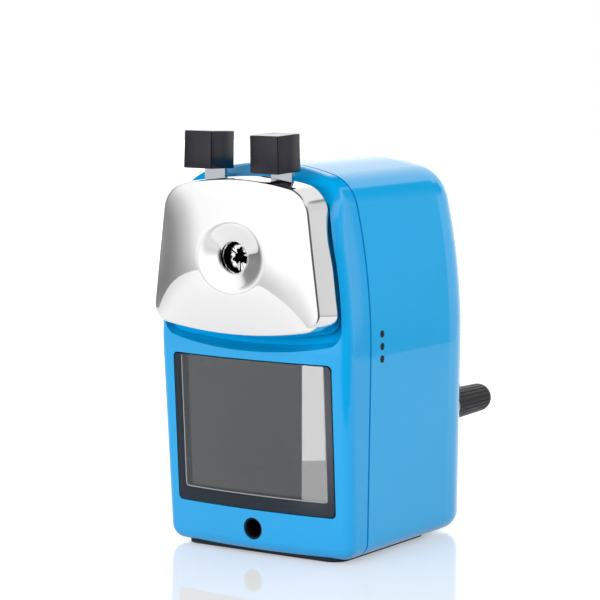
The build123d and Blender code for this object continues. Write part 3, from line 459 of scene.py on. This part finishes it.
def makeFace(look):
    hole = look["hole"]
    floorY = look["edgeY"] - look["crown"] + look["dishDepth"]
    freshStart()
    bpy.ops.mesh.primitive_circle_add(
        vertices=look["sides"], radius=hole * mm, rotation=(math.radians(90), 0, 0),
        location=(0, (floorY + look["sleeve"]) * mm, look["axisZ"] * mm),
    )
    piece = bpy.context.object
    bpy.ops.object.transform_apply(location=True, rotation=True, scale=True)
    bpy.ops.object.mode_set(mode="EDIT")
    bpy.ops.mesh.select_all(action="SELECT")

    def ring(shape):  # extrude the open rim and set it in place
        bpy.ops.mesh.extrude_edges_move()
        edit = bmesh.from_edit_mesh(piece.data)
        for vert in edit.verts:
            if vert.select:
                angle = math.atan2(vert.co.z - look["axisZ"] * mm, vert.co.x)
                radius, y = shape(angle)
                z = look["axisZ"] + radius * math.sin(angle)
                x = radius * math.cos(angle)
                vert.co = Vector((x, faceDepth(look, x, z) if y is None else y, z)) * mm
        bmesh.update_edit_mesh(piece.data)

    for out, drop in look["lip"]:
        ring(lambda angle: (hole + out, floorY + drop))
    for radius in look["dishRings"]:
        ring(lambda angle: (radius, None))
    start = look["dishRings"][-1]
    for share in look["pillowShares"]:
        ring(lambda angle: (start + (faceRadius(look, angle, look["bevel"]) - start) * share, None))

    def rimDepth(angle):  # where the pillow meets the crisp edge
        radius = faceRadius(look, angle, look["bevel"])
        return faceDepth(look, radius * math.cos(angle), look["axisZ"] + radius * math.sin(angle))

    for turn in look["rollTurns"]:
        inset = look["bevel"] * (1 - math.sin(math.radians(turn)))
        drop = look["bevel"] * (1 - math.cos(math.radians(turn)))
        ring(lambda angle: (faceRadius(look, angle, inset), rimDepth(angle) + drop))

    def flaredRadius(angle, y):  # the wall opens out backwards, less towards the top
        radius = faceRadius(look, angle, 0)
        climb = (radius * math.sin(angle) - look["flareFrom"]) / look["flareSpan"]
        climb = min(max(climb, 0), 1)
        flare = look["flare"] + (look["flareTop"] - look["flare"]) * climb**2 * (3 - 2 * climb)
        return radius + flare * (y - look["edgeY"]) / (look["backY"] - look["edgeY"])

    backIn, backUp = look["backLip"]
    for y in (*look["wallY"], *look["slotY"], look["backY"] - backUp):
        ring(lambda angle: (flaredRadius(angle, y), y))
    ring(lambda angle: (flaredRadius(angle, look["backY"]) - backIn, look["backY"]))

    def inSlot(face):
        centre = face.calc_center_median() / mm
        alongX = look["slotX"][0] < abs(centre.x) < look["slotX"][1]
        return alongX and look["slotY"][0] < centre.y < look["slotY"][1] and centre.z > look["axisZ"]

    pick(piece, "FACE", inSlot)
    bpy.ops.mesh.delete(type="FACE")
    bpy.ops.mesh.select_all(action="SELECT")
    bpy.ops.mesh.normals_make_consistent(inside=False)
    edit = bmesh.from_edit_mesh(piece.data)
    front = min(edit.faces, key=lambda face: face.calc_center_median().y)
    if front.normal.y > 0:
        bpy.ops.mesh.flip_normals()
    bpy.ops.object.mode_set(mode="OBJECT")
    harden(piece, "SOLIDIFY", thickness=look["wall"] * mm, offset=-1)
    finishPiece(piece, look["name"], mirrorChrome, "carriage", "chrome", "face_cover")


makeFace(faceLook)
print("face made")


# Polished jaw tips behind the hole: three sectors of a ring with a toothed opening
tipShape = dict(
    axisZ=89.4, frontY=-42.4, thick=0.95, outer=6.3, top=3.5, halfSpan=60, gap=0.2, inner=2.15,
    tooth=0.3, teeth=9, lobe=0.6, lobes=3, bevel=(0.08, 2, 60), sides=144,
)


def makeJawTip(name, middle, body):
    look = tipShape
    centre = Vector((0, look["frontY"], look["axisZ"])) * mm
    freshStart()
    bpy.ops.mesh.primitive_circle_add(
        vertices=look["sides"], radius=look["outer"] * mm, location=centre, rotation=(math.radians(90), 0, 0),
    )
    piece = bpy.context.object
    bpy.ops.object.transform_apply(location=True, rotation=True, scale=True)
    bpy.ops.object.mode_set(mode="EDIT")
    bpy.ops.mesh.select_all(action="SELECT")
    bpy.ops.mesh.extrude_edges_move()
    edit = bmesh.from_edit_mesh(piece.data)
    for vert in edit.verts:
        if vert.select:  # the new inner rim, drawn in to the opening
            angle = math.atan2(vert.co.z - centre.z, vert.co.x)
            wave = look["tooth"] * math.cos(look["teeth"] * angle)
            wave -= look["lobe"] * math.sin(look["lobes"] * angle)
            radius = (look["inner"] + wave) * mm
            vert.co.x = radius * math.cos(angle)
            vert.co.z = centre.z + radius * math.sin(angle)
    bmesh.update_edit_mesh(piece.data)
    for side in (-1, 1):
        turn = math.radians(middle + look["halfSpan"] * side)
        outward = Vector((-math.sin(turn), 0, math.cos(turn))) * side
        bpy.ops.mesh.select_all(action="SELECT")
        bpy.ops.mesh.bisect(plane_co=centre - outward * look["gap"] * mm, plane_no=outward, clear_outer=True)
    bpy.ops.mesh.select_all(action="SELECT")
    flat = centre + Vector((0, 0, look["top"] * mm))  # leaves room for the pin's head
    bpy.ops.mesh.bisect(plane_co=flat, plane_no=(0, 0, 1), clear_outer=True)
    bpy.ops.mesh.select_all(action="SELECT")
    bpy.ops.mesh.normals_make_consistent(inside=False)
    edit = bmesh.from_edit_mesh(piece.data)
    if next(iter(edit.faces)).normal.y > 0:
        bpy.ops.mesh.flip_normals()
    bpy.ops.object.mode_set(mode="OBJECT")
    harden(piece, "SOLIDIFY", thickness=look["thick"] * mm, offset=-1)
    softEdges(piece, *look["bevel"])
    finishPiece(piece, name, jawSteel, body, "steel")


makeJawTip("leftJawTip", 210, "left_clamp")
makeJawTip("rightJawTip", 330, "right_clamp")
makeJawTip("upperJawTip", 90, "top_clamp")
print("jaw tips made")


# Feed springs on the rods, made at one fixed length on the body; in the real sharpener they close up as the face is
# drawn out
springShape = dict(
    rodX=24.0, rodZ=77.4, frontY=-30.5, backY=14.25, coil=3.3, wire=0.4, turns=8, sides=10, steps=28, closed=0.19,
)


def makeSprings(look):
    coils = []
    for side in (-1, 1):
        freshStart()
        bpy.ops.mesh.primitive_circle_add(
            vertices=look["sides"], radius=look["wire"] * mm,
            location=(look["coil"] * mm, 0, 0), rotation=(math.radians(90), 0, 0),
        )
        coil = bpy.context.object
        bpy.ops.object.transform_apply(location=True, rotation=True, scale=True)
        length = look["backY"] - look["frontY"] - 2 * look["wire"]
        harden(
            coil, "SCREW", axis="Z", steps=look["steps"], render_steps=look["steps"],
            iterations=look["turns"], screw_offset=length / look["turns"] * mm,
        )
        bpy.ops.object.mode_set(mode="EDIT")
        bpy.ops.mesh.select_all(action="SELECT")
        bpy.ops.mesh.fill_holes(sides=0)  # the wire's two ends
        bpy.ops.mesh.select_all(action="SELECT")
        bpy.ops.mesh.normals_make_consistent(inside=False)
        bpy.ops.object.mode_set(mode="OBJECT")
        coil.rotation_euler = (math.radians(-90), 0, 0)
        coil.location = Vector((side * look["rodX"], look["frontY"] + look["wire"], look["rodZ"])) * mm
        bpy.ops.object.transform_apply(location=True, rotation=True, scale=True)
        coils.append(coil)
    freshStart()
    for coil in coils:
        coil.select_set(True)
    bpy.ops.object.join()
    piece = finishPiece(bpy.context.object, "closingSprings", satinSteel, "body", "steel", "feed_springs")
    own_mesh(piece)


makeSprings(springShape)
print("springs made")


# Finger caps: square blocks with crisp edges, a shallow top dish and a socket underneath
capShape = dict(
    width=9.9, depth=11.6, height=11.0, bottom=114.7, middleY=-41.5, draft=0.985, rim=0.9, dish=0.12,
    socketRim=0.8, socketDepth=1.2, bevel=(0.32, 3, 40), facing=0.9,
)


def makeCap(name, x, sink, lean, body, node):
    look = capShape
    freshStart()
    bpy.ops.mesh.primitive_cube_add(size=1)
    piece = bpy.context.object
    piece.scale = (look["width"] * mm, look["depth"] * mm, look["height"] * mm)
    bpy.ops.object.transform_apply(location=True, rotation=True, scale=True)
    bpy.ops.object.mode_set(mode="EDIT")
    bpy.ops.mesh.select_all(action="SELECT")
    bpy.ops.transform.translate(value=(0, 0, look["height"] / 2 * mm))
    pick(piece, "FACE", lambda face: face.normal.z > look["facing"])
    top = (0, 0, look["height"] * mm)
    bpy.ops.transform.resize(value=(look["draft"], look["draft"], 1), center_override=top)
    bpy.ops.mesh.inset(thickness=look["rim"] * mm)
    bpy.ops.transform.translate(value=(0, 0, -look["dish"] * mm))
    pick(piece, "FACE", lambda face: face.normal.z < -look["facing"])
    bpy.ops.mesh.inset(thickness=look["socketRim"] * mm)
    bpy.ops.mesh.extrude_region_move(TRANSFORM_OT_translate={"value": (0, 0, look["socketDepth"] * mm)})
    bpy.ops.object.mode_set(mode="OBJECT")
    softEdges(piece, *look["bevel"])
    piece.rotation_euler = (math.radians(lean), 0, 0)
    piece.location = (x * mm, look["middleY"] * mm, (look["bottom"] - sink) * mm)
    finishPiece(piece, name, buttonBlack, body, "black_plastic", node)


makeCap("leftCap", -11.8, 0.0, -2.2, "left_clamp", "left_button")
makeCap("rightCap", 11.8, 0.45, 1.6, "right_clamp", "right_button")
print("caps made")


# Fine pale line round the drawer's window, on the bowed front: a painted highlight standing for the light caught along
# the clear drawer's inner corner
highlightLineLook = dict(
    name="windowHighlightLine", left=-24.9, right=25.7, sill=18.2, top=58.2, corner=1.2, thick=0.16, roundness=3,
    riseSteps=10, bendSteps=6, runSteps=20, endSides=12, probeY=-0.1,
)


def makePaintedHighlightLine(look):
    left, right, sill, corner = look["left"], look["right"], look["sill"], look["corner"]
    height = look["top"] - sill - corner
    width = right - left - 2 * corner
    rise = [sill + corner + height * step / look["riseSteps"] for step in range(1, look["riseSteps"] + 1)]
    bend = [math.radians(90 * step / look["bendSteps"]) for step in range(look["bendSteps"] + 1)]
    run = [left + corner + width * step / look["runSteps"] for step in range(1, look["runSteps"])]
    route = [(left, z) for z in reversed(rise)]
    for turn in bend:
        route.append((left + corner - corner * math.cos(turn), sill + corner - corner * math.sin(turn)))
    route += [(x, sill) for x in run]
    for turn in bend:
        route.append((right - corner + corner * math.sin(turn), sill + corner - corner * math.cos(turn)))
    route += [(right, z) for z in rise]
    data = bpy.data.curves.new(look["name"], "CURVE")
    data.dimensions = "3D"
    data.bevel_depth = look["thick"] * mm
    data.bevel_resolution = look["roundness"]
    spline = data.splines.new("POLY")
    spline.points.add(len(route) - 1)
    for point, (x, z) in zip(spline.points, route):
        place = nodes["drawer"].ray_cast((x * mm, look["probeY"], z * mm), (0, 1, 0))[1]
        point.co = (x * mm, place.y, z * mm, 1)
    piece = bpy.data.objects.new(look["name"], data)
    bpy.context.scene.collection.objects.link(piece)
    freshStart()
    piece.select_set(True)
    bpy.context.view_layer.objects.active = piece
    bpy.ops.object.convert(target="MESH")
    piece = bpy.context.object
    bpy.ops.object.mode_set(mode="EDIT")
    bpy.ops.mesh.select_all(action="SELECT")
    bpy.ops.mesh.fill_holes(sides=look["endSides"])
    bpy.ops.object.mode_set(mode="OBJECT")
    # the line wears the painted-highlight grey
    finishPiece(piece, look["name"], paintedHighlightEdge, "tray", "smoke_plastic")


makePaintedHighlightLine(highlightLineLook)


# Black bush in the clamp hole
bushLook = dict(name="clampBush", z=7.9, front=-36.2, back=-31.4, radius=3.08, wall=0.3, bevel=(0.08, 2, 40), sides=64)


def makeBush(look):
    freshStart()
    length = look["back"] - look["front"]
    bpy.ops.mesh.primitive_cylinder_add(
        vertices=look["sides"], radius=look["radius"] * mm, depth=length * mm, end_fill_type="NOTHING",
        location=(0, (look["front"] + length / 2) * mm, look["z"] * mm), rotation=(math.radians(90), 0, 0),
    )
    piece = bpy.context.object
    harden(piece, "SOLIDIFY", thickness=look["wall"] * mm, offset=-1)
    softEdges(piece, *look["bevel"])
    finishPiece(piece, look["name"], innerBlack, "body", "black_plastic")


makeBush(bushLook)


# Three printed dots on the right side
dotLook = dict(
    name="printedDot", y=-18.7, heights=(66.6, 62.9, 59.2), radius=1.12, thick=0.05,
    bevel=(0.03, 2, 40), sides=40, probeX=0.1,
)


def makeDots(look):
    for number, z in enumerate(look["heights"]):
        probe = (look["probeX"], look["y"] * mm, z * mm)
        place, normal = nodes["rear_housing"].ray_cast(probe, (-1, 0, 0))[1:3]
        freshStart()
        bpy.ops.mesh.primitive_cylinder_add(
            vertices=look["sides"], radius=look["radius"] * mm, depth=look["thick"] * 2 * mm, location=place,
            rotation=normal.to_track_quat("Z", "Y").to_euler(),
        )
        piece = bpy.context.object
        softEdges(piece, *look["bevel"])
        finishPiece(piece, look["name"] + str(number + 1), printedInk, "body", "dark_plastic")


makeDots(dotLook)
print("window line, bush and dots made")


# Stage: a white table, white surround for the eye, a studio's light and dark for reflections
floorLook = dict(
    name="paleFloor", left=-0.55, right=0.40, front=-0.195, back=2.2, turn=33.859, colour=(0.67, 0.67, 0.675, 1),
    dull=0.99, cloud=3.0, rough=0.04, ior=1.36, glow=0.30, glint=0.30,
)


def makeFloor(look):
    freshStart()
    width = look["right"] - look["left"]
    depth = look["back"] - look["front"]
    bpy.ops.mesh.primitive_plane_add(size=1.0)
    floor = bpy.context.object
    floor.name = look["name"]
    bpy.ops.object.mode_set(mode="EDIT")
    bpy.ops.mesh.select_all(action="SELECT")
    bpy.ops.transform.resize(value=(width, depth, 1))
    bpy.ops.transform.translate(value=(look["left"] + width / 2, look["front"] + depth / 2, 0))
    bpy.ops.object.mode_set(mode="OBJECT")
    floor.rotation_euler = (0, 0, math.radians(look["turn"]))
    bpy.ops.object.transform_apply(location=True, rotation=True, scale=True)
    finish = newFinish(look["name"])
    finish.feed(
        BaseColor=finish.mix(finish.noise(look["cloud"]), shade(look["colour"], look["dull"]), look["colour"]),
        Roughness=look["rough"],
        IOR=look["ior"],
    )
    seen = finish.add("ShaderNodeLightPath", {}, {}, "Is Camera Ray")
    mirrored = finish.add("ShaderNodeLightPath", {}, {}, "Is Glossy Ray")
    clear = finish.add("ShaderNodeLightPath", {}, {}, "Is Transmission Ray")
    whiteOut = (seen + clear) * look["glow"] + mirrored * look["glint"]
    glow = finish.add("ShaderNodeEmission", {}, {"Color": (1, 1, 1, 1), "Strength": whiteOut})
    finish.show(finish.add("ShaderNodeAddShader", {}, {0: finish.main(), 1: glow}))
    floor.data.materials.append(finish.owner)


# Brightness seen by shiny surfaces, by compass direction: 0 is straight in front, + towards the right
studioLow = [
    (-180, 1.25), (-160, 1.75), (-120, 1.7), (-108, 1.0), (-92, 0.62), (-74, 0.66), (-63, 0.32), (-58, 0.31),
    (-54, 0.38), (-50, 0.54), (-46, 0.75), (-43.5, 1.0), (-41, 1.2), (-37, 1.24), (-30, 1.28), (-23, 1.6),
    (-10, 1.6), (0, 1.0), (10, 0.25), (20, 0.08), (70, 0.10), (100, 0.40), (114, 0.80), (142, 0.85),
    (147, 0.38), (150.4, 0.38), (152, 0.95), (180, 1.2),
]
studioHigh = [
    (-180, 1.25), (-160, 1.5), (-120, 1.4), (-95, 0.9), (-60, 0.85), (-40, 1.3), (-10, 1.3), (15, 0.5), (35, 0.15),
    (100, 0.30), (115, 0.8), (146, 0.8), (150, 0.38), (156, 0.10), (166, 0.10), (168.5, 1.2), (180, 1.25),
]
worldLook = dict(
    fill=0.62, white=1.0, rampTop=2.0, split=(0.17, 0.23), sink=0.42, sinkZ=(-0.03, -0.23),
    hood=1.0, hoodZ=(0.52, 0.57), dark=0.10, darkZ=(0.72, 0.84),
)


def makeWorld(look):
    world = bpy.data.worlds.new("studio")
    bpy.context.scene.world = world
    finish = Finish(world)
    seen = finish.add("ShaderNodeLightPath", {}, {}, "Is Camera Ray")
    mirrored = finish.add("ShaderNodeLightPath", {}, {}, "Is Glossy Ray")
    clear = finish.add("ShaderNodeLightPath", {}, {}, "Is Transmission Ray")
    way = finish.add("ShaderNodeTexCoord", {}, {}, "Generated")
    x, y, z = (finish.part(way, axis) for axis in "XYZ")
    turn = x.calc("ARCTAN2", x, 0 - y) * (0.5 / math.pi) + 0.5  # 0 to 1 round the compass
    levels = []
    for studio in (studioLow, studioHigh):
        stops = []
        for angle, level in studio:
            grey = level / look["rampTop"]
            stops.append(((angle + 180) / 360, (grey, grey, grey, 1)))
        levels.append(finish.add("ShaderNodeValToRGB", {"stops": stops}, {0: turn}, "Color") * look["rampTop"])
    sockets = {"Value": z, "From Min": look["split"][0], "From Max": look["split"][1]}
    upper = finish.add("ShaderNodeMapRange", {}, sockets)
    sink = finish.fade(z, *look["sinkZ"]) * look["sink"]  # dimmer down to the table's edge
    room = levels[0] * (1 - sink) * (1 - upper) + levels[1] * upper
    hood = finish.fade(z, *look["hoodZ"])
    dark = finish.fade(z, *look["darkZ"])
    room = room * (1 - hood) + hood * look["hood"]
    room = room * (1 - dark) + dark * look["dark"]
    eye = seen + clear
    strength = eye * look["white"] + mirrored * room + (1 - eye) * (1 - mirrored) * look["fill"]
    background = finish.tree.nodes["Background"]
    background.inputs["Color"].default_value = (1, 1, 1, 1)
    finish.put(background.inputs["Strength"], strength)


lampLook = [
    dict(name="sideBox", place=(0.98, -0.30, 0.58), target=(0.03, 0.0, 0.05), size=(0.5, 0.5), power=7.0),
    dict(name="topBox", place=(-0.10, 0.15, 1.0), target=(0.0, 0.0, 0.08), size=(0.6, 0.6), power=0.2),
    dict(name="backFill", place=(-0.75, 0.80, 0.20), target=(0.0, 0.03, 0.06), size=(0.6, 0.3), power=5.0),
    dict(name="frontFill", place=(-0.40, -1.00, 0.18), target=(0.0, -0.03, 0.06), size=(0.7, 0.3), power=6.8),
]


def makeLamp(look):
    data = bpy.data.lights.new(look["name"], "AREA")
    data.shape = "RECTANGLE"
    data.size, data.size_y = look["size"]
    data.energy = look["power"]
    lamp = bpy.data.objects.new(look["name"], data)
    bpy.context.scene.collection.objects.link(lamp)
    lamp.visible_glossy = False  # reflections show the studio instead
    lamp.location = look["place"]
    aim = Vector(look["target"]) - Vector(look["place"])
    lamp.rotation_euler = aim.to_track_quat("-Z", "Y").to_euler()


# Two light cards, one standing and one lying on the table, seen only in the drawer's window
cardLook = [
    dict(
        name="standingCard", glow=8.9, corners=[
            (-0.0035, -0.128, 0.0028), (-0.0226, -0.128, 0.0017), (-0.0037, -0.128, 0.0375), (-0.0192, -0.128, 0.0385),
        ],
    ),
    dict(
        name="lyingCard", glow=4.25, corners=[
            (-0.0250, -0.1331, 0.0003), (-0.0061, -0.1361, 0.0003), (-0.006, -0.088, 0.0003), (0.0076, -0.0914, 0.0003),
        ],
    ),
]
cardTones = [(0.97, 0.96, 0.955, 1), (1, 0.99, 0.985, 1)]
cardCloud = 8.0
windowOnly = bpy.data.collections.new("windowOnly")  # the cards light the drawer and nothing else
windowOnly.objects.link(nodes["drawer"])


def makeCard(look):
    freshStart()
    bpy.ops.mesh.primitive_plane_add()
    card = bpy.context.object
    card.name = look["name"]
    for vert, corner in zip(card.data.vertices, look["corners"]):
        vert.co = corner
    card.data.update()
    finish = newFinish(look["name"])
    tone = finish.mix(finish.noise(cardCloud), *cardTones)
    glow = finish.add("ShaderNodeEmission", {}, {"Color": tone, "Strength": look["glow"]})
    clear = finish.add("ShaderNodeBsdfTransparent", {}, {})
    finish.show(finish.add("ShaderNodeAddShader", {}, {0: glow, 1: clear}))  # other surfaces see through it
    card.data.materials.append(finish.owner)
    card.visible_camera = False
    card.visible_diffuse = False
    card.visible_transmission = False
    card.visible_shadow = False
    card.light_linking.receiver_collection = windowOnly


cameraLook = dict(place=(0.4256, -0.6456, 0.1641), pitch=83.246, turn=33.859, lens=153.07, sensor=36)


def makeCamera(look):
    data = bpy.data.cameras.new("photoView")
    data.lens = look["lens"]
    data.sensor_width = look["sensor"]
    camera = bpy.data.objects.new("photoView", data)
    bpy.context.scene.collection.objects.link(camera)
    camera.location = look["place"]
    camera.rotation_euler = (math.radians(look["pitch"]), 0, math.radians(look["turn"]))
    bpy.context.scene.camera = camera


makeFloor(floorLook)
makeWorld(worldLook)
for look in cardLook:
    makeCard(look)
for look in lampLook:
    makeLamp(look)
makeCamera(cameraLook)
bpy.context.scene.view_settings.view_transform = "Standard"
print("stage set")
